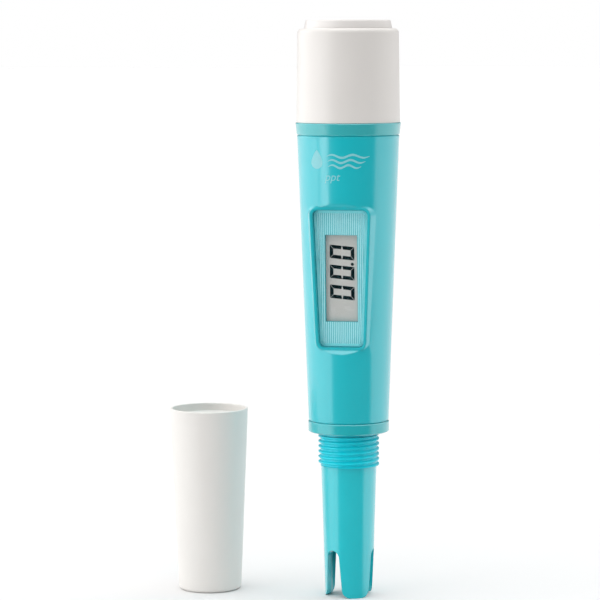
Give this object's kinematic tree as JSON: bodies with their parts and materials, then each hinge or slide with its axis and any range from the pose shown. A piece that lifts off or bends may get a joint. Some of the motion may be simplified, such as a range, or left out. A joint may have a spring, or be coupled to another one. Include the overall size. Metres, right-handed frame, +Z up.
{
  "type": "pen-type digital water tester",
  "caption": "Pen-type water tester with a slotted probe guard, a windowed display pad, a push button on its battery cover and a separate screw-on probe cap.",
  "frame": {"origin": "on the tester's axis, in the plane of the probe guard's tips, where it stands or dips in", "axes": "+Z up along the tester's axis, the display faces -Y, the protective cap stands on the -X side"},
  "size_m": [0.0804, 0.0354, 0.1952],
  "materials": {
    "teal_abs": "satin gloss moulded ABS, teal",
    "collar_teal_abs": "satin gloss moulded ABS, teal, a little greener",
    "probe_teal_abs": "satin gloss moulded ABS, teal",
    "cover_white_abs": "satin moulded ABS, warm white",
    "button_white_abs": "satin moulded ABS, warm white",
    "cap_white_pp": "satin moulded polypropylene, warm white",
    "window_clear_acrylic": "clear polished acrylic with a teal cast",
    "foam_tape": "black foam tape",
    "lcd_glass": "grey-green liquid crystal cell",
    "lcd_reflector": "matt silver film",
    "black_abs": "matt black moulded ABS",
    "silicone_rubber": "layered conductive silicone",
    "fr4_board": "green solder mask on glass epoxy",
    "epoxy_black": "black moulded epoxy",
    "component_grey": "ceramic and tinned metal",
    "zinc_steel": "zinc-plated steel",
    "spring_steel": "bright spring steel",
    "switch_black_nylon": "black nylon",
    "switch_red_acetal": "red acetal",
    "cell_steel": "nickel-plated steel can",
    "nickel_brass": "nickel-plated brass",
    "wire_red_pvc": "red PVC insulation",
    "wire_blue_pvc": "blue PVC insulation",
    "seal_nitrile": "black nitrile rubber",
    "potting_epoxy": "dark cast epoxy",
    "electrode_titanium": "turned titanium pin",
    "sensor_steel": "drawn stainless steel tube"
  },
  "bodies": {
    "tester": {"body_shell": "teal_abs", "neck_ring": "collar_teal_abs", "probe_housing": "probe_teal_abs", "display_window": "window_clear_acrylic", "window_gasket": "foam_tape", "lcd_glass": "lcd_glass", "lcd_reflector": "lcd_reflector", "lcd_holder": "black_abs", "zebra_strips": "silicone_rubber", "circuit_board": "fr4_board", "switch_board": "fr4_board", "microcontroller": "epoxy_black", "board_components": "component_grey", "board_screws": "zinc_steel", "carrier_screws": "zinc_steel", "switch_housing": "switch_black_nylon", "battery_carrier": "black_abs", "button_cells": "cell_steel", "cell_bridge": "nickel_brass", "contact_leaves": "nickel_brass", "battery_leads": "wire_red_pvc", "probe_leads": "wire_blue_pvc", "cover_seal": "seal_nitrile", "probe_seal": "seal_nitrile", "electrode_potting": "potting_epoxy", "electrode_pins": "electrode_titanium", "temperature_sensor": "sensor_steel"},
    "battery_cover": {"battery_cover": "cover_white_abs", "button_spring": "spring_steel"},
    "power_button": {"power_button": "button_white_abs", "button_clip": "spring_steel"},
    "switch_plunger": {"switch_plunger": "switch_red_acetal"},
    "protective_cap": {"protective_cap": "cap_white_pp"}
  },
  "joints": [
    {"name": "cover_lift", "type": "slide", "parent": "tester", "child": "battery_cover", "axis": [0, 0, 1], "range_m": [0, 0.04]},
    {"name": "button_press", "type": "slide", "parent": "battery_cover", "child": "power_button", "axis": [0, 0, -1], "range_m": [0, 0.001], "stiffness_N_per_m": 300, "springref_m": -0.004, "deforming": ["button_spring"]},
    {"name": "switch_press", "type": "slide", "parent": "tester", "child": "switch_plunger", "axis": [0, 0, -1], "range_m": [0, 0.001]},
    {"name": "cap_lift", "type": "slide", "parent": "tester", "child": "protective_cap", "axis": [0, 0, 1], "range_m": [0, 0.08]}
  ],
  "couplings": [
    {"joint": "switch_press", "follows": "button_press", "ratio": 1}
  ]
}
